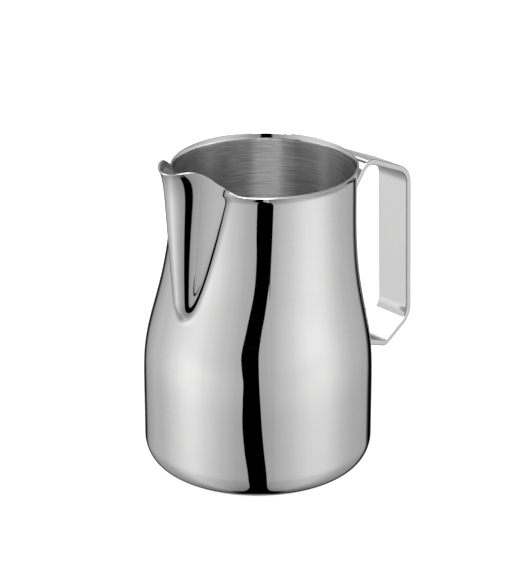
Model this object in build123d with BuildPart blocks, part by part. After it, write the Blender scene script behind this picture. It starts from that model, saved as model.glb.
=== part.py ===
from build123d import *

import os
from math import exp, radians, tan

# Stainless milk frothing pitcher, millimetres.
# +Z is up, +X points to the handle, -X to the spout, and the XZ plane is the plane of symmetry.
# The origin is the centre of the flat base.

# ---- driving dimensions ----
sheet = 0.8                 # wall thickness of the drawn steel
rim_height = 120.0          # level part of the rim above the table
belly_radius = 44.85        # outside radius of the belly
neck_radius = 35.0          # outside radius that the neck narrows to
shoulder_height = 62.6      # height about which the wall turns in from belly to neck
shoulder_spread = 15.5      # how gently it does so
corner_height = 8.9         # height of the rounded corner between base and wall
corner_width = 6.3          # how far it reaches in over the base
rim_flare = 1.1             # how far the rim edge stands out from where the bend begins
rim_flare_height = 4.0      # height over which the flare bends outwards
flare_bite = 0.2            # how deep inside the sheet that bend begins
lean = 3.6                  # how far the neck circle moves towards the handle
lean_start = 41.0           # height where it begins to move
lean_end = 122.0            # height where it stops

spout_foot = 66.0           # height where the spout's foot dimensions apply
spout_head = 130.0          # height where its head dimensions apply
foot_reach = 41.6           # ridge of the spout from the belly axis, at the foot
head_reach = 45.4           # the same at the head, without the curl of the lip
ridge_bow = 0.25            # how far the ridge bows outwards between the two
foot_turn = 75.0            # height below which the ridge turns in towards the shoulder
foot_bend = 0.061           # how fast it does so, per mm
foot_nose = 3.0             # radius of the rounded ridge at the foot
head_nose = 7.2             # the same at the head
nose_pinch = 0.6            # how much sharper the ridge is between the two
inner_pinch = 0.55          # share of the sheet by which the ridge is sharper inside
lip_curl = 2.5              # outward curl of the pouring lip
curl_height = 3.5           # height over which the curl dies away
crease = 2.5                # outside blend radius where the spout meets the neck
lip_start = -25.8           # x where the lip begins to rise above the rim
lip_slope = (-31.0, 123.8)  # x and height of the lip on its way up,
lip_brow = (-36.0, 128.2)   # further up,
lip_crest = (-41.0, 130.6)  # at its highest point,
lip_front = (-47.9, 129.4)  # and at the very front

strap_width = 16.3
strap_thickness = 2.5
strap_edge = 0.6            # rounding of the strap's long edges
strap_rise = 54.0           # angle at which the strap climbs away from the neck, degrees
foot_rise = 20.0            # angle at which its foot climbs towards the belly
arch = (51.9, 111.5)        # corners of the strap's centre line: over the arch,
top_corner = (75.2, 101.1)  # between top arm and grip,
low_corner = (77.2, 37.6)   # between grip and lower diagonal,
knee = (63.9, 29.0)         # and between diagonal and foot
bends = [5.5, 7.8, 8.0, 2.2]  # centre-line bend radii at those corners
neck_end = 35.0             # x where the untrimmed bar ends, inside the neck
belly_end = 40.0            # x where it ends inside the belly
bead_side = 1.0             # how far a weld bead stands out beside the strap
bead_length = 2.2           # length of a bead along the strap, from the wall
bead_taper = 20.0           # slope of the bead's sides, degrees

level_step = 8.0            # spacing of the wall's lofted sections
wall_levels = 16
wall_foot = 16.0            # height where the lofted wall takes over from the turned base
spout_step = 4.0            # spacing of the spout's lofted sections
spout_levels = 21
spout_base = 56.0           # the spout solid starts here, inside the shoulder
spout_back = -12.0          # x where it ends, inside the neck
reach = 120.0               # longer than anything it has to cut or reach
rim_plane = Plane((lean, 0, rim_height), x_dir=(1, 0, 0), z_dir=(0, -1, 0))
rim_axis = Axis((lean, 0, 0), (0, 0, 1))


def wall_radius(height):
    """Outside radius of the wall circle at a height."""
    narrowing = exp(-exp((shoulder_height - height) / shoulder_spread))
    return belly_radius - (belly_radius - neck_radius) * narrowing


def wall_centre(height):
    """Offset of the wall circle towards the handle at a height."""
    part_way = min(max((height - lean_start) / (lean_end - lean_start), 0.0), 1.0)
    return lean * part_way**2 * (3 - 2 * part_way)


def wall_solid(inset):
    """The filled body without its spout, with the wall moved inwards by inset."""
    with BuildPart() as wall:
        with BuildSketch(Plane.XZ):
            with BuildLine():
                Line((0, inset), (belly_radius - corner_width, inset))
                EllipticalCenterArc(
                    (belly_radius - corner_width, corner_height),
                    corner_width - inset,
                    corner_height - inset,
                    start_angle=270,
                    arc_size=90,
                )
                Line((belly_radius - inset, corner_height), (belly_radius - inset, wall_foot))
                Line((belly_radius - inset, wall_foot), (0, wall_foot))
                Line((0, wall_foot), (0, inset))
            make_face()
        revolve(axis=Axis.Z)
        for level in range(wall_levels):
            height = wall_foot + level * level_step
            with BuildSketch(Plane((wall_centre(height), 0, height))):
                Circle(wall_radius(height) - inset)
        loft()
    return wall.part


def spout_solid(inset):
    """The filled spout, from inside the shoulder to above the lip, moved inwards by inset."""
    with BuildPart() as spout:
        for level in range(spout_levels):
            height = spout_base + level * spout_step
            part_way = (height - spout_foot) / (spout_head - spout_foot)
            bow = 4 * part_way * (1 - part_way)
            ridge = foot_reach + (head_reach - foot_reach) * part_way + ridge_bow * bow - inset
            ridge -= foot_bend * max(foot_turn - height, 0) ** 2
            ridge += lip_curl * exp(min(height - lip_front[1], curl_height) / curl_height)
            nose = foot_nose + (head_nose - foot_nose) * part_way - nose_pinch * bow
            nose -= inner_pinch * inset
            back_y = (2 * nose * (ridge + spout_back)) ** 0.5
            # The section is a parabola with its apex on the ridge; the two tangents at its ends
            # meet as far in front of the apex as the ends are behind it.
            meeting = (-2 * ridge - spout_back, 0)
            with BuildSketch(Plane.XY.offset(height)):
                with BuildLine():
                    Bezier((spout_back, -back_y), meeting, (spout_back, back_y))
                    Line((spout_back, back_y), (spout_back, -back_y))
                make_face()
        loft()
    return spout.part


def flare_solid(inset):
    """A filled disc with the rim's flare as its edge, moved inwards by inset."""
    bend = (rim_flare_height**2 + rim_flare**2) / (2 * rim_flare)
    start = wall_radius(rim_height - rim_flare_height) - flare_bite
    section = []
    for rise in (0, rim_flare_height / 2, rim_flare_height):
        out = start + bend - ((bend + inset) ** 2 - rise**2) ** 0.5
        section.append((out, rise - rim_flare_height))
    lower, middle, upper = section
    with BuildPart() as disc:
        with BuildSketch(rim_plane):
            with BuildLine():
                Line((0, lower[1]), lower)
                ThreePointArc(lower, middle, upper)
                Line(upper, (upper[0], reach))
                Line((upper[0], reach), (0, reach))
                Line((0, reach), (0, lower[1]))
            make_face()
        revolve(axis=rim_axis)
    return disc.part


def jug_solid(inset):
    """Body, spout and flare as one filled solid, open-ended at the top."""
    with BuildPart() as jug:
        add(wall_solid(inset))
        add(spout_solid(inset))
        wall_face = jug.faces().sort_by(SortBy.AREA)[-1]
        meeting_edges = wall_face.edges().filter_by_position(Axis.X, -reach, 2 * spout_back)
        fillet(meeting_edges, radius=crease + inset)
        add(flare_solid(inset))
    return jug.part


outside = jug_solid(0)
inside = jug_solid(sheet)


# ---- jug body: one drawn sheet with a pressed spout and a flared rim ----
with BuildPart() as jug_body:
    add(outside)
    add(inside, mode=Mode.SUBTRACT)
    with BuildSketch(Plane.XZ):
        with BuildLine():
            Line((reach, 3 * reach), (reach, rim_height))
            Line((reach, rim_height), (lip_start, rim_height))
            Spline(
                [(lip_start, rim_height), lip_slope, lip_brow, lip_crest, lip_front],
                tangents=[(-1, 0), (-1, -0.3)],
            )
            Line(lip_front, (-reach, lip_front[1]))
            Line((-reach, lip_front[1]), (-reach, 3 * reach))
            Line((-reach, 3 * reach), (reach, 3 * reach))
        make_face()
    extrude(amount=reach, both=True, mode=Mode.SUBTRACT)
jug_body.part.label = "jug_body"


# ---- handle strap: one flat bar, bent to shape, its ends cut to the neck and the belly ----
upper_end = (neck_end, arch[1] - (arch[0] - neck_end) * tan(radians(strap_rise)))
lower_end = (belly_end, knee[1] + (knee[0] - belly_end) * tan(radians(foot_rise)))

with BuildPart() as handle_strap:
    with BuildLine(Plane.XZ) as centre_line:
        FilletPolyline(upper_end, arch, top_corner, low_corner, knee, lower_end, radius=bends)
    strap_path = centre_line.wires()[0]
    with BuildSketch(Plane(strap_path @ 0, x_dir=(0, 1, 0), z_dir=strap_path % 0)):
        RectangleRounded(strap_width, strap_thickness, strap_edge)
    sweep(path=strap_path)
    add(outside, mode=Mode.SUBTRACT)
handle_strap.part.label = "handle_strap"


# ---- weld beads: a collar of weld metal round each end of the strap ----
def weld_bead(end, corner, wall_x):
    """The filled collar round the straight run of the strap that meets the wall."""
    # The collar tapers, so at its start, inside the wall, it is wider than where it leaves the wall.
    bead_root = bead_side + bead_length * tan(radians(bead_taper))
    run = Vector(corner[0] - end[0], 0, corner[1] - end[1]).normalized()
    start = Vector(end[0], 0, end[1]) + run * ((wall_x - end[0]) / run.X)
    with BuildPart() as bead:
        with BuildSketch(Plane(start - run * bead_length, x_dir=(0, 1, 0), z_dir=run)):
            RectangleRounded(
                strap_width + 2 * bead_root,
                strap_thickness + 2 * bead_root,
                bead_root,
            )
        extrude(amount=2 * bead_length, taper=bead_taper)
        add(outside, mode=Mode.SUBTRACT)
        add(handle_strap.part, mode=Mode.SUBTRACT)
    return bead.part


with BuildPart() as upper_weld_bead:
    add(weld_bead(upper_end, arch, 39.3))
upper_weld_bead.part.label = "upper_weld_bead"

with BuildPart() as lower_weld_bead:
    add(weld_bead(lower_end, knee, 44.9))
lower_weld_bead.part.label = "lower_weld_bead"

os.makedirs("parts", exist_ok=True)
export_step(jug_body.part, "parts/jug_body.step")
export_step(handle_strap.part, "parts/handle_strap.step")
export_step(upper_weld_bead.part, "parts/upper_weld_bead.step")
export_step(lower_weld_bead.part, "parts/lower_weld_bead.step")
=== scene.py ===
import math

import bpy
import numpy as np
from mathutils import Matrix, Vector


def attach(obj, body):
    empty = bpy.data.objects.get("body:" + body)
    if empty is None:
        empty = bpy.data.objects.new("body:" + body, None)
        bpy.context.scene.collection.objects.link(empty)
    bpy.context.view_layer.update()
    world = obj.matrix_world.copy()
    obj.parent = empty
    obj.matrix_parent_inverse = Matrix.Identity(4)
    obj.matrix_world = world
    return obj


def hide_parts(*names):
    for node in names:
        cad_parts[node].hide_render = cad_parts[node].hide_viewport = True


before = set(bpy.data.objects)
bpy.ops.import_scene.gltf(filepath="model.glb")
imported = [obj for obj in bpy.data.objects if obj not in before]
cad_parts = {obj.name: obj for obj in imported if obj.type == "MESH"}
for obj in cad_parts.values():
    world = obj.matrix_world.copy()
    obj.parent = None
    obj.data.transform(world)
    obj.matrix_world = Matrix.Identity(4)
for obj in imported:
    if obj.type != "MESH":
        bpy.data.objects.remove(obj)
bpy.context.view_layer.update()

MM = 0.001

# ---------------------------------------------------------------- jug surface
# Millimetres. +Z up, +X to the handle, -X to the spout, origin at the centre of the base.
SHEET = 0.8  # thickness of the sheet
RIM = 120.0  # height of the rim
BELLY = 44.84  # outer radius of the belly
NECK = 35.0  # radius that the wall narrows towards
SHOULDER = 62.6  # height of the middle of the shoulder
SPREAD = 15.5  # how gradual the shoulder is
CORNER_UP = 8.9  # base corner, height
CORNER_IN = 6.3  # base corner, width
FLARE_OUT = 1.1  # how far the rim bends outwards
FLARE_UP = 4.0  # height of that bend
FLARE_BITE = 0.2  # how far inside the wall the bend starts
FLARE_SOFT = 0.12  # half width of the blend between wall and bend
LEAN = 3.6  # shift of the mouth towards the handle
LEAN_FROM = 41.0
LEAN_TO = 122.0

# rim line over the spout as (x, height), from the rim to the tip
LIP = [(-25.8, 120.0), (-31.0, 123.8), (-36.0, 128.2), (-41.0, 130.6), (-47.9, 129.4)]
TIP_SLOPE = 0.3
LIP_PASSES = 60  # the rim line is found by repeated small steps
LIP_STEP = 0.4

# spout: a parabola in each level, with its ridge line and the radius of its nose
SPOUT_FOOT = 66.0
SPOUT_HEAD = 130.0
RIDGE_FOOT = 41.6  # distance of the ridge from the wall's axis
RIDGE_HEAD = 45.4
RIDGE_BOW = 0.25
RIDGE_TURN = 75.0  # below this height the ridge turns in towards the shoulder
RIDGE_TURN_LONG = 10.0
RIDGE_BEND = 0.061
NOSE_FOOT = 3.0
NOSE_HEAD = 7.2
NOSE_PINCH = 0.6
CURL = 2.5  # outward curl of the lip at the tip
CURL_UP = 3.5
CURL_PAST = 1.5
CURL_WIDE = math.radians(11.0)
CREASE = 2.2  # half width of the blend between wall and spout
SPOUT_SIDE = 1.3  # the spout's half angle, radians
SPOUT_LOWEST = 40.0
NO_SPOUT = -10.0  # stands for a spout surface far inside the wall

# rounded upper edge of the sheet
EDGE = 0.3
TRIM = 0.1
EDGE_STEPS = 9
EDGE_SQUARE = 0.7

# mesh steps: angles round the jug, levels up the wall, rings across the base
SPOUT_ANGLE = math.radians(36.0)
SPOUT_STEPS = 145
ROUND_STEPS = 261
CORNER_STEPS = 15
WALL_LEVELS = [(CORNER_UP, 56.0, 1.6), (56.0, 104.0, 1.0), (104.0, 116.0, 0.75)]
FLARE_FROM = 116.0
FLARE_LEVELS = 15
LIP_FROM = 100.0  # above this the levels stretch up into the spout's lip
BASE_RINGS = (2.0, 10.0, 19.0, 28.0, 34.0)
NUDGE = 0.02  # step for slopes, up the wall in millimetres
NUDGE_ROUND = 0.0005  # and round it in radians
POLISHED_ROWS = 7  # rows on the inside of the flare that are polished like the outside
OUTSIDE, INSIDE, UNDERSIDE = 0, 1, 2


def smooth(t):
    t = np.clip(t, 0.0, 1.0)
    return t * t * (3 - 2 * t)


def hermite(t, span, low, high, low_slope, high_slope):
    """Smooth curve between two values with a given slope at each."""
    ends = low * (1 + 2 * t) * (1 - t) ** 2 + high * t * t * (3 - 2 * t)
    return ends + low_slope * span * t * (1 - t) ** 2 + high_slope * span * t * t * (t - 1)


def soft_positive(value, width):
    """The larger of value and 0, rounded off within width of 0."""
    rounded = (value + width) ** 2 / (4 * width)
    return np.where(value < -width, 0.0, np.where(value > width, value, rounded))


def wall_radius(z):
    return BELLY - (BELLY - NECK) * np.exp(-np.exp((SHOULDER - z) / SPREAD))


def circle_radius(z):
    z = np.minimum(z, RIM)
    r = wall_radius(z)
    bend = (FLARE_UP**2 + FLARE_OUT**2) / (2 * FLARE_OUT)
    start = wall_radius(RIM - FLARE_UP) - FLARE_BITE
    rise = np.clip(z - (RIM - FLARE_UP), 0.0, FLARE_UP)
    flare = start + bend - np.sqrt(bend**2 - rise**2)
    return r + soft_positive(flare - r, FLARE_SOFT)


def circle_centre(z):
    return LEAN * smooth((z - LEAN_FROM) / (LEAN_TO - LEAN_FROM))


def lip_height(x):
    xs = np.array([p[0] for p in LIP][::-1])
    zs = np.array([p[1] for p in LIP][::-1])
    slope = np.zeros(len(xs))
    slope[1:-1] = (zs[2:] - zs[:-2]) / (xs[2:] - xs[:-2])
    slope[0] = TIP_SLOPE
    i = np.clip(np.searchsorted(xs, x) - 1, 0, len(xs) - 2)
    span = xs[i + 1] - xs[i]
    t = np.clip((x - xs[i]) / span, 0.0, 1.0)
    height = hermite(t, span, zs[i], zs[i + 1], slope[i], slope[i + 1])
    return np.where(x > xs[-1], RIM, np.where(x < xs[0], zs[0], height))


def spout_radius(phi, z):
    s = (z - SPOUT_FOOT) / (SPOUT_HEAD - SPOUT_FOOT)
    bow = 4 * s * (1 - s)
    ridge = RIDGE_FOOT + (RIDGE_HEAD - RIDGE_FOOT) * s + RIDGE_BOW * bow
    ridge = ridge - RIDGE_BEND * np.clip(RIDGE_TURN - z, 0.0, RIDGE_TURN_LONG) ** 2
    past_tip = np.minimum(z - LIP[-1][1], CURL_PAST)
    ridge = ridge + CURL * np.exp(past_tip / CURL_UP) * np.exp(-((phi / CURL_WIDE) ** 2))
    nose = NOSE_FOOT + (NOSE_HEAD - NOSE_FOOT) * s - NOSE_PINCH * bow
    far = ridge + circle_centre(z)
    phi = np.clip(phi, -SPOUT_SIDE, SPOUT_SIDE)
    along = nose * np.cos(phi)
    return 2 * nose * far / (along + np.sqrt(along**2 + 2 * nose * far * np.sin(phi) ** 2))


def wall_point(phi, z):
    """Outside point at angle phi from the spout and height z above the base corner."""
    r = circle_radius(z)
    in_spout = (np.abs(phi) < SPOUT_SIDE) & (z > SPOUT_LOWEST)
    rho = r + soft_positive(np.where(in_spout, spout_radius(phi, z) - r, NO_SPOUT), CREASE)
    return np.stack([circle_centre(z) - rho * np.cos(phi), rho * np.sin(phi), z + 0 * phi], -1)


def top_height(phi):
    z = np.full_like(phi, RIM)
    for _ in range(LIP_PASSES):
        x = wall_point(phi, z)[..., 0]
        z = (1 - LIP_STEP) * z + LIP_STEP * lip_height(x)
    return z


def unit(vectors):
    return vectors / np.linalg.norm(vectors, axis=1)[:, None]


# ---------------------------------------------------------------- jug mesh
def angle_steps():
    """Angles from the spout, closer together near it, between -pi and pi."""
    near = np.linspace(-SPOUT_ANGLE, SPOUT_ANGLE, SPOUT_STEPS)
    far = np.linspace(SPOUT_ANGLE, 2 * math.pi - SPOUT_ANGLE, ROUND_STEPS)[1:-1]
    phi = np.concatenate([near, far])
    return np.where(phi > math.pi, phi - 2 * math.pi, phi)


def corner_rows(side, up):
    """Outside points and normals of the rounded corner between base and wall."""
    rows = []
    normals = []
    for a in np.linspace(0.0, math.pi / 2, CORNER_STEPS)[:-1]:
        across = BELLY - CORNER_IN + CORNER_IN * math.sin(a)
        rows.append(side * across + up * CORNER_UP * (1 - math.cos(a)))
        normals.append(unit(side * math.sin(a) / CORNER_IN - up * math.cos(a) / CORNER_UP))
    return rows, normals


def wall_rows(phi, side):
    """Outside points and normals of the wall, from the base corner to the upper edge."""
    last = RIM - EDGE
    top = top_height(phi) - EDGE - TRIM
    levels = [np.arange(low, high, step) for low, high, step in WALL_LEVELS]
    levels.append(np.linspace(FLARE_FROM, last, FLARE_LEVELS))
    rows = []
    normals = []
    for level in np.concatenate(levels):
        stretched_level = LIP_FROM + (level - LIP_FROM) * (top - LIP_FROM) / (last - LIP_FROM)
        z = np.where(level <= LIP_FROM, level, stretched_level)
        around = wall_point(phi + NUDGE_ROUND, z) - wall_point(phi - NUDGE_ROUND, z)
        along = wall_point(phi, z + NUDGE) - wall_point(phi, z - NUDGE)
        normal = unit(np.cross(along, around))
        normal[np.sum(normal * side, axis=1) < 0] *= -1
        rows.append(wall_point(phi, z))
        normals.append(normal)
    return rows, normals


def edge_rows(rows, inner):
    """Rounded upper edge between the two faces of the sheet."""
    middle = (rows[-1] + inner[-1]) / 2
    out = (rows[-1] - inner[-1]) / 2
    along = unit(rows[-1] - rows[-2])
    edge = []
    for a in np.linspace(0.0, math.pi, EDGE_STEPS)[1:-1]:
        across = np.sign(math.cos(a)) * abs(math.cos(a)) ** EDGE_SQUARE
        edge.append(middle + out * across + along * EDGE * math.sin(a) ** EDGE_SQUARE)
    return edge


def build_jug():
    phi = angle_steps()
    n = len(phi)
    side = np.stack([-np.cos(phi), np.sin(phi), 0 * phi], -1)
    up = np.array([0.0, 0.0, 1.0])
    rows, normals = corner_rows(side, up)
    more_rows, more_normals = wall_rows(phi, side)
    rows = rows + more_rows
    normals = normals + more_normals
    inner = [row - SHEET * normal for row, normal in zip(rows, normals)]
    edge = edge_rows(rows, inner)
    under = [side * r for r in BASE_RINGS]
    floor_rings = [side * r + up * SHEET for r in BASE_RINGS[::-1]]
    table = under + rows + edge + inner[::-1] + floor_rings
    polished_to = len(under) + len(rows) + len(edge) + POLISHED_ROWS
    faces = []
    marks = []
    for i in range(len(table) - 1):
        if i < len(under):
            mark = UNDERSIDE
        elif i < polished_to:
            mark = OUTSIDE
        else:
            mark = INSIDE
        for j in range(n):
            k = (j + 1) % n
            faces.append((i * n + j, i * n + k, (i + 1) * n + k, (i + 1) * n + j))
            marks.append(mark)
    # the two centre points of the base close the sheet
    verts = np.concatenate(table + [[[0, 0, 0], [0, 0, SHEET]]])
    outside_centre = len(table) * n
    inside_centre = outside_centre + 1
    last = (len(table) - 1) * n
    for j in range(n):
        k = (j + 1) % n
        faces.append((outside_centre, k, j))
        marks.append(UNDERSIDE)
        faces.append((last + j, last + k, inside_centre))
        marks.append(INSIDE)
    mesh = bpy.data.meshes.new("jug")
    mesh.from_pydata((verts * MM).tolist(), [], faces)
    mesh.polygons.foreach_set("material_index", marks)
    mesh.polygons.foreach_set("use_smooth", [True] * len(faces))
    mesh.update()
    obj = bpy.data.objects.new("jug", mesh)
    bpy.context.scene.collection.objects.link(obj)
    return obj


# ---------------------------------------------------------------- node helpers
def fresh(name):
    material = bpy.data.materials.new(name)
    material.use_nodes = True
    tree = material.node_tree
    return material, tree, tree.nodes["Principled BSDF"]


def add(tree, kind, **values):
    """New node; values are its properties or the numbers of its sockets."""
    node = tree.nodes.new(kind)
    for key, value in values.items():
        if key in node.bl_rna.properties:
            setattr(node, key, value)
        else:
            node.inputs[key].default_value = value
    return node


def math_node(tree, operation, *values):
    node = tree.nodes.new("ShaderNodeMath")
    node.operation = operation
    for socket, value in zip(node.inputs, values):
        if isinstance(value, (int, float)):
            socket.default_value = value
        else:
            tree.links.new(value, socket)
    return node.outputs[0]


def ramp(tree, factor, stops, mode="EASE"):
    node = tree.nodes.new("ShaderNodeValToRGB")
    node.color_ramp.interpolation = mode
    while len(node.color_ramp.elements) < len(stops):
        node.color_ramp.elements.new(0.5)
    for element, (position, value) in zip(node.color_ramp.elements, sorted(stops)):
        element.position = position
        element.color = (value, value, value, 1) if isinstance(value, (int, float)) else (*value, 1)
    tree.links.new(factor, node.inputs[0])
    return node.outputs[0]


def graded(tree, value, pairs, low, high, mode, unit=1.0):
    """Brightness from (position, brightness) pairs, for a value that runs from low to high units."""
    span = high - low
    factor = math_node(tree, "MULTIPLY_ADD", value, 1 / (span * unit), -low / span)
    return ramp(tree, factor, [((position - low) / span, level) for position, level in pairs], mode)


def dot_with(tree, vector, fixed):
    node = add(tree, "ShaderNodeVectorMath", operation="DOT_PRODUCT")
    tree.links.new(vector, node.inputs[0])
    node.inputs[1].default_value = tuple(fixed)
    return node.outputs["Value"]


def object_place(tree):
    return add(tree, "ShaderNodeTexCoord").outputs["Object"]


def noise(tree, place, scale, detail, roughness):
    node = add(tree, "ShaderNodeTexNoise", Scale=scale, Detail=detail, Roughness=roughness)
    tree.links.new(place, node.inputs["Vector"])
    return node.outputs[0]


def stretched(tree, place, scales):
    """Object coordinates drawn out by a factor per axis."""
    node = add(tree, "ShaderNodeVectorMath", operation="MULTIPLY")
    node.inputs[1].default_value = scales
    tree.links.new(place, node.inputs[0])
    return node.outputs[0]


def spread(tree, value, low, high, start=0.3, end=0.7):
    """Maps start ... end, by default the usual span of a noise, to low ... high."""
    node = tree.nodes.new("ShaderNodeMapRange")
    node.inputs["From Min"].default_value = start
    node.inputs["From Max"].default_value = end
    node.inputs["To Min"].default_value = low
    node.inputs["To Max"].default_value = high
    tree.links.new(value, node.inputs["Value"])
    return node.outputs[0]


def add_bump(tree, shader, height, strength, distance):
    bump = add(tree, "ShaderNodeBump", Strength=strength, Distance=distance)
    tree.links.new(height, bump.inputs["Height"])
    tree.links.new(bump.outputs[0], shader.inputs["Normal"])


def grey(level):
    return (level, level, level)


# ---------------------------------------------------------------- materials
STEEL_TONE = 0.62
SMUDGE_SCALE = 38.0
GRAIN_SHARE = 0.4
# brush marks: noise cells per radian round the axis, and per metre up and away from it
BRUSH_ROUND = 1.6
BRUSH_UP = 2200.0
BRUSH_ACROSS = 1500.0
RIPPLE_SCALE = 380.0
PIT_SCALE = 1400.0
HEAT_SCALE = 180.0


def polished(name, roughness, grain_scales, grain_depth):
    """Polished steel: fine polishing lines, soft smudges and a slight change of colour."""
    material, tree, shader = fresh(name)
    shader.inputs["Metallic"].default_value = 1.0
    place = object_place(tree)
    cloud = noise(tree, place, scale=SMUDGE_SCALE, detail=3.0, roughness=0.55)
    grain = noise(tree, stretched(tree, place, grain_scales), scale=1.0, detail=3.0, roughness=0.6)
    cloud = math_node(tree, "MULTIPLY", cloud, 1 - GRAIN_SHARE)
    wear = math_node(tree, "MULTIPLY_ADD", grain, GRAIN_SHARE, cloud)
    warm = (STEEL_TONE * 1.02, STEEL_TONE * 1.017, STEEL_TONE * 1.012)
    tint = ramp(tree, wear, [(0.3, grey(STEEL_TONE * 0.98)), (0.7, warm)])
    tree.links.new(tint, shader.inputs["Base Color"])
    rough = spread(tree, wear, low=roughness * 0.75, high=roughness * 1.35)
    tree.links.new(rough, shader.inputs["Roughness"])
    add_bump(tree, shader, grain, strength=grain_depth, distance=0.0001)
    return material


def welded(name, roughness, tone):
    """Weld metal: ripples along the seam, heat tint and fine pits."""
    material, tree, shader = fresh(name)
    shader.inputs["Metallic"].default_value = 1.0
    place = object_place(tree)
    ripples = add(
        tree, "ShaderNodeTexWave", bands_direction="Y", Scale=RIPPLE_SCALE, Distortion=1.6, Detail=2.0
    )
    tree.links.new(place, ripples.inputs["Vector"])
    pits = noise(tree, place, scale=PIT_SCALE, detail=4.0, roughness=0.6)
    heat = noise(tree, place, scale=HEAT_SCALE, detail=2.0, roughness=0.5)
    straw = (tone * 1.04, tone * 0.98, tone * 0.88)
    blue = (tone * 0.86, tone * 0.9, tone * 0.98)
    tint = ramp(tree, heat, [(0.35, blue), (0.5, grey(tone)), (0.65, straw)])
    tree.links.new(tint, shader.inputs["Base Color"])
    rough = spread(tree, pits, low=roughness * 0.8, high=roughness * 1.3)
    tree.links.new(rough, shader.inputs["Roughness"])
    relief = math_node(tree, "MULTIPLY_ADD", pits, 0.3, ripples.outputs["Fac"])
    add_bump(tree, shader, relief, strength=0.25, distance=0.0002)
    return material


def brushed(name, roughness, tone):
    """Steel brushed round the vertical axis."""
    material, tree, shader = fresh(name)
    shader.inputs["Metallic"].default_value = 1.0
    shader.inputs["Anisotropic"].default_value = 1.0
    shader.inputs["Anisotropic Rotation"].default_value = 0.25
    tangent = add(tree, "ShaderNodeTangent", direction_type="RADIAL", axis="Z")
    tree.links.new(tangent.outputs[0], shader.inputs["Tangent"])
    split = tree.nodes.new("ShaderNodeSeparateXYZ")
    tree.links.new(object_place(tree), split.inputs[0])
    x, y, z = split.outputs
    turn = math_node(tree, "ARCTAN2", y, x)
    squares = math_node(tree, "MULTIPLY_ADD", x, x, math_node(tree, "MULTIPLY", y, y))
    from_axis = math_node(tree, "SQRT", squares)
    lines = tree.nodes.new("ShaderNodeCombineXYZ")
    marks = ((turn, BRUSH_ROUND), (z, BRUSH_UP), (from_axis, BRUSH_ACROSS))
    for socket, (value, scale) in zip(lines.inputs, marks):
        tree.links.new(math_node(tree, "MULTIPLY", value, scale), socket)
    grain = noise(tree, lines.outputs[0], scale=1.0, detail=4.0, roughness=0.7)
    tint = ramp(tree, grain, [(0.25, grey(tone * 0.68)), (0.75, grey(tone * 1.22))])
    tree.links.new(tint, shader.inputs["Base Color"])
    rough = spread(tree, grain, low=roughness * 0.8, high=roughness * 1.2, start=0.0, end=1.0)
    tree.links.new(rough, shader.inputs["Roughness"])
    add_bump(tree, shader, grain, strength=0.02, distance=0.0002)
    return material


# the polishing lines run round the jug, and along the strap
steel_out = polished("steel_polished", roughness=0.035, grain_scales=(60.0, 60.0, 1800.0), grain_depth=0.004)
steel_in = brushed("steel_brushed", roughness=0.32, tone=0.57)
steel_under = brushed("steel_base", roughness=0.2, tone=0.6)
steel_strap = polished("steel_strap", roughness=0.05, grain_scales=(40.0, 2500.0, 40.0), grain_depth=0.02)
steel_weld = welded("steel_weld", roughness=0.25, tone=0.5)

jug = build_jug()
for material in (steel_out, steel_in, steel_under):
    jug.data.materials.append(material)
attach(jug, "root")
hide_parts("jug_body")

for name, material in (
    ("handle_strap", steel_strap),
    ("upper_weld_bead", steel_weld),
    ("lower_weld_bead", steel_weld),
):
    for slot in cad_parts[name].material_slots:
        slot.material = material


# ---------------------------------------------------------------- camera
TURN = math.radians(47.0)
RISE = math.radians(24.0)
AWAY = 979.0
AIM_HEIGHT = 57.85
AIM_RIGHT = 2.41  # the camera looks at a point beside and above the one it is placed from
AIM_UP = 11.57
FOCAL_LENGTH = 157.85
forward = Vector((-math.cos(TURN), -math.sin(TURN), 0.0))
right = Vector((math.sin(TURN), -math.cos(TURN), 0.0))
towards = forward * math.cos(RISE) + Vector((0.0, 0.0, math.sin(RISE)))
aim = Vector((0.0, 0.0, AIM_HEIGHT))
place = aim + towards * AWAY
target = aim + right * AIM_RIGHT + towards.cross(right) * AIM_UP
back = (place - target).normalized()
side_axis = Vector((0, 0, 1)).cross(back).normalized()
camera = bpy.data.cameras.new("camera")
camera.lens = FOCAL_LENGTH
camera.sensor_width = 36.0
camera.clip_start = 0.05
camera.clip_end = 50.0
eye = bpy.data.objects.new("camera", camera)
turn = Matrix((side_axis, back.cross(side_axis), back)).transposed().to_4x4()
eye.matrix_world = Matrix.Translation(place * MM) @ turn
bpy.context.scene.collection.objects.link(eye)
bpy.context.scene.camera = eye


# ---------------------------------------------------------------- studio light
# Azimuth in degrees: 0 towards the camera, 90 to its right, 180 behind the jug.
# softboxes left and right of the camera, dark behind the jug
BOXES = [
    (-180, 0.3), (-169, 0.3), (-164, 0.03), (-155, 0.04), (-150, 0.24), (-129, 0.4), (-112, 0.45),
    (-98, 0.56), (-86, 0.66), (-76, 0.73), (-66, 0.73), (-57, 0.66), (-48, 0.59), (-39, 0.51),
    (-31, 0.46), (-23, 0.4), (-12, 0.35), (0, 0.32), (10, 0.35), (18, 0.42), (37, 0.55), (49, 0.64),
    (60, 0.68), (70, 0.67), (78, 0.62), (90, 0.52), (104, 0.43), (127, 0.36), (142, 0.29),
    (147, 0.04), (165, 0.03), (171, 0.3),
]
BOXES_FULL = 0.63
# brightness of the boxes by elevation
RISING = [
    (-90, 0.0), (-79, 0.0), (-76, 0.3), (-70, 0.45), (-55, 0.66), (-35, 0.8), (-26, 1.0), (-18, 1.1),
    (-8, 1.14), (0, 1.14), (10, 1.14),
]
RIGHT_EXTRA = 0.1  # the right side is this much brighter above the horizon
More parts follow.
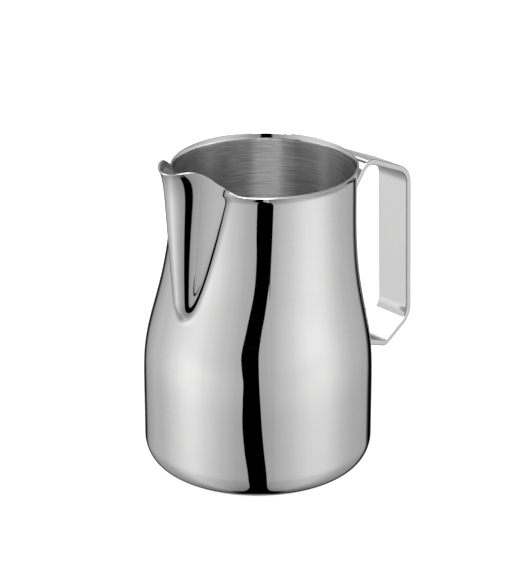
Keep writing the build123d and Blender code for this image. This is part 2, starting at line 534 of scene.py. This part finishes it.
# softer light higher up, by azimuth
BESIDE = [
    (-180, 0.3), (-150, 0.2), (-120, 0.24), (-95, 0.44), (-60, 0.48), (-45, 0.42), (-25, 0.3),
    (-12, 0.22), (12, 0.22), (25, 0.3), (45, 0.42), (60, 0.46), (80, 0.4), (115, 0.24), (150, 0.2),
    (180, 0.3),
]
BESIDE_STRENGTH = 2.0
# lamps overhead, seen in the brushed inside, by azimuth
OVERHEAD = [
    (-180, 0.25), (-166, 0.25), (-155, 0.02), (-120, 0.02), (-100, 0.06), (-60, 0.07), (-38, 0.07),
    (-36.5, 1.0), (-32.5, 1.0), (-31, 0.07), (-28, 0.1), (-25, 1.0), (14, 1.0), (18, 0.22),
    (48, 0.18), (66, 0.02), (155, 0.02), (166, 0.25), (180, 0.25),
]
OVERHEAD_STRENGTH = 8.5
LAMP_STRENGTH = 2.0

bpy.context.scene.view_settings.view_transform = "Standard"
world = bpy.data.worlds.new("studio")
world.use_nodes = True
bpy.context.scene.world = world
tree = world.node_tree
way = add(tree, "ShaderNodeTexCoord").outputs["Generated"]
ahead = dot_with(tree, way, forward)
aside = dot_with(tree, way, right)
height = dot_with(tree, way, (0.0, 0.0, 1.0))


def calc(operation, *values):
    return math_node(tree, operation, *values)


def times(first, *others):
    for other in others:
        first = calc("MULTIPLY", first, other)
    return first


def outside_of(share):
    return calc("SUBTRACT", 1.0, share)


def step_at(value, edge, width):
    """0 below the edge, 1 above it."""
    node = add(tree, "ShaderNodeMapRange", interpolation_type="SMOOTHSTEP")
    node.inputs["From Min"].default_value = edge - width
    node.inputs["From Max"].default_value = edge + width
    tree.links.new(value, node.inputs["Value"])
    return node.outputs[0]


def between(value, low, low_width, high, high_width):
    """1 from low to high, 0 outside."""
    return times(step_at(value, low, low_width), outside_of(step_at(value, high, high_width)))


def near(value, centre, reach, width):
    """1 within reach of the centre, 0 farther off."""
    return outside_of(step_at(calc("ABSOLUTE", calc("SUBTRACT", value, centre)), reach, width))


def blend(first, second, share):
    return calc("ADD", times(first, outside_of(share)), times(second, share))


def by_azimuth(pairs, mode):
    return graded(tree, azimuth, pairs, -180, 180, mode)


azimuth = times(calc("ARCTAN2", aside, ahead), 180 / math.pi)
elevation = times(calc("ARCSINE", height), 180 / math.pi)

rising = graded(tree, elevation, RISING, -90, 90, "LINEAR")
light = times(by_azimuth(BOXES, "CARDINAL"), rising, 1 / BOXES_FULL)
more_right = times(aside, step_at(elevation, edge=-2.0, width=4.0), RIGHT_EXTRA)
light = calc("MULTIPLY_ADD", light, more_right, light)
beside = times(by_azimuth(BESIDE, "CARDINAL"), BESIDE_STRENGTH)
light = blend(light, beside, step_at(elevation, edge=10.0, width=3.0))
overhead = times(by_azimuth(OVERHEAD, "LINEAR"), OVERHEAD_STRENGTH)
light = blend(light, overhead, step_at(elevation, edge=38.0, width=6.0))
# small lamp behind the handle, seen in its lower slope
lamp = times(
    near(azimuth, centre=-119.0, reach=20.0, width=3.0),
    between(elevation, low=37.0, low_width=4.0, high=54.0, high_width=3.0),
)
light = calc("MULTIPLY_ADD", lamp, LAMP_STRENGTH, light)
# the gap towards the camera: above the horizon it shows in the back of the rim, low down in the spout
low_gap = times(
    near(azimuth, centre=1.0, reach=8.5, width=1.0),
    between(elevation, low=-60.0, low_width=8.0, high=-3.0, high_width=1.0),
)
high_gap = times(
    near(azimuth, centre=-2.5, reach=7.5, width=1.5),
    between(elevation, low=9.0, low_width=1.0, high=45.0, high_width=10.0),
)
light = times(light, outside_of(calc("MAXIMUM", low_gap, high_gap)))
# the backdrop itself is white
seen = add(tree, "ShaderNodeLightPath").outputs["Is Camera Ray"]
light = calc("MAXIMUM", light, seen)
tree.links.new(light, tree.nodes["Background"].inputs["Color"])


# ---------------------------------------------------------------- studio cards
# Distances in millimetres: away is towards the camera, across is to its right.
STRIP_AWAY = 62.0
# dark strip in front of the jug: (height, left edge, right edge)
STRIP = [
    (-111, -24.4, 24.9), (-40, -10.0, 10.0), (-9, -6.3, 6.5), (2, -6.9, 5.9), (12, -9.3, 4.2),
    (22, -10.7, 2.8), (36, -10.5, 1.6), (48, -10.4, 0.8), (55, -11.9, 0.5), (62, -12.9, 0.4),
    (70, -10.6, 2.2), (76, -8.0, 5.0), (80, -5.9, 6.7), (85, -4.4, 8.8), (90, -4.1, 9.7),
    (98, -5.0, 10.6), (112, -4.6, 11.8),
]
STRIP_ROWS = 220
WING_FROM = -9.0
WING_TO = 84.0
WING_RIGHT = 8.5
# brightness of the wing across, and up as a share of WING_BRIGHTEST
WING_ACROSS = [
    (-40, 0.585), (-31, 0.51), (-23, 0.46), (-16.5, 0.4), (-12, 0.375), (-7, 0.355), (0, 0.32),
    (7, 0.35), (12, 0.41), (17, 0.455), (22.4, 0.49), (31, 0.565), (40, 0.62),
]
WING_UP = [
    (-9, 0.77), (-4, 0.85), (0, 1.0), (22.5, 1.02), (33.75, 1.1), (47.5, 1.17), (60, 1.22),
    (82.5, 1.15),
]
WING_BRIGHTEST = 1.3
FILL_ACROSS = -12.0
FILL_AWAY = (20, 60)
FILL_HEIGHT = (50, 138)
FLOOR_REACH = 4.0
FLOOR_DROP = 0.00005


def smooth_rows(rows, count):
    """Rows of the strip at equal heights, on a smooth curve through the given ones."""
    rows = np.array(rows, float)
    z = rows[:, 0]
    slope = np.gradient(rows, z, axis=0)
    out = []
    for level in np.linspace(z[0], z[-1], count):
        i = min(max(int(np.searchsorted(z, level)) - 1, 0), len(z) - 2)
        span = z[i + 1] - z[i]
        row = hermite((level - z[i]) / span, span, rows[i], rows[i + 1], slope[i], slope[i + 1])
        out.append((level, row[1], row[2]))
    return out


def studio_card(name, corners, faces, shade):
    """A card that only mirror reflections can see; corners are (away, across, height)."""
    points = [(forward * away + right * across + Vector((0, 0, up))) * MM for away, across, up in corners]
    mesh = bpy.data.meshes.new(name)
    mesh.from_pydata([tuple(point) for point in points], [], faces)
    mesh.materials.append(shade)
    card = bpy.data.objects.new(name, mesh)
    bpy.context.scene.collection.objects.link(card)
    card.visible_camera = False
    card.visible_diffuse = False
    card.visible_shadow = False
    card.visible_transmission = False


def ribbon_card(name, edges, shade):
    """Upright card from (height, left edge, right edge) rows."""
    corners = [(STRIP_AWAY, across, level) for level, *sides in edges for across in sides]
    faces = [(2 * i, 2 * i + 1, 2 * i + 3, 2 * i + 2) for i in range(len(edges) - 1)]
    studio_card(name, corners, faces, shade)


def glow(name, one_sided=False):
    """Light material; one_sided lets light from behind pass."""
    shade = bpy.data.materials.new(name)
    shade.use_nodes = True
    shade_tree = shade.node_tree
    shade_tree.nodes.clear()
    out = shade_tree.nodes.new("ShaderNodeOutputMaterial")
    emit = shade_tree.nodes.new("ShaderNodeEmission")
    surface = emit.outputs[0]
    if one_sided:
        mix = shade_tree.nodes.new("ShaderNodeMixShader")
        clear = shade_tree.nodes.new("ShaderNodeBsdfTransparent")
        facing = shade_tree.nodes.new("ShaderNodeNewGeometry")
        shade_tree.links.new(facing.outputs["Backfacing"], mix.inputs[0])
        shade_tree.links.new(surface, mix.inputs[1])
        shade_tree.links.new(clear.outputs[0], mix.inputs[2])
        surface = mix.outputs[0]
    shade_tree.links.new(surface, out.inputs[0])
    return shade, shade_tree, emit.inputs["Strength"]


strip_rows = smooth_rows(STRIP, STRIP_ROWS)
black, _, strength = glow("strip_black")
strength.default_value = 0.0
ribbon_card("dark_strip", strip_rows, black)

# light wing beside the strip, as bright as the softboxes behind it
wing, wing_tree, strength = glow("wing_light")
spot = object_place(wing_tree)
across = dot_with(wing_tree, spot, right)
across = graded(wing_tree, across, WING_ACROSS, -50, 50, "CARDINAL", unit=MM)
upright = dot_with(wing_tree, spot, (0.0, 0.0, 1.0))
wing_up = [(position, level / WING_BRIGHTEST) for position, level in WING_UP]
upright = graded(wing_tree, upright, wing_up, -12.5, 112.5, "LINEAR", unit=MM)
bright = math_node(wing_tree, "MULTIPLY", across, upright)
bright = math_node(wing_tree, "MULTIPLY", bright, WING_BRIGHTEST / BOXES_FULL)
wing_tree.links.new(bright, strength)
wing_rows = [(row[0], row[2], WING_RIGHT) for row in strip_rows if WING_FROM < row[0] < WING_TO]
ribbon_card("right_wing", wing_rows, wing)

# one-sided fill card: hides the strip from the spout
fill, fill_tree, strength = glow("fill_light", one_sided=True)
depth = dot_with(fill_tree, object_place(fill_tree), forward)
fill_light = spread(fill_tree, depth, low=0.76, high=0.53, start=36 * MM, end=60 * MM)
fill_tree.links.new(fill_light, strength)
fill_corners = [
    (FILL_AWAY[0], FILL_ACROSS, FILL_HEIGHT[0]),
    (FILL_AWAY[1], FILL_ACROSS, FILL_HEIGHT[0]),
    (FILL_AWAY[1], FILL_ACROSS, FILL_HEIGHT[1]),
    (FILL_AWAY[0], FILL_ACROSS, FILL_HEIGHT[1]),
]
studio_card("fill_card", fill_corners, [(0, 1, 2, 3)], fill)

floor_mesh = bpy.data.meshes.new("floor")
floor_corners = [
    (x * FLOOR_REACH, y * FLOOR_REACH, -FLOOR_DROP) for x, y in ((-1, -1), (1, -1), (1, 1), (-1, 1))
]
floor_mesh.from_pydata(floor_corners, [], [(0, 1, 2, 3)])
floor = bpy.data.objects.new("floor", floor_mesh)
bpy.context.scene.collection.objects.link(floor)
pale, _, floor_shader = fresh("floor_white")
floor_shader.inputs["Base Color"].default_value = (*grey(0.5), 1)
floor_shader.inputs["Roughness"].default_value = 0.8
floor_shader.inputs["Emission Color"].default_value = (1, 1, 1, 1)
floor_shader.inputs["Emission Strength"].default_value = 0.8
floor_mesh.materials.append(pale)
floor.visible_glossy = False
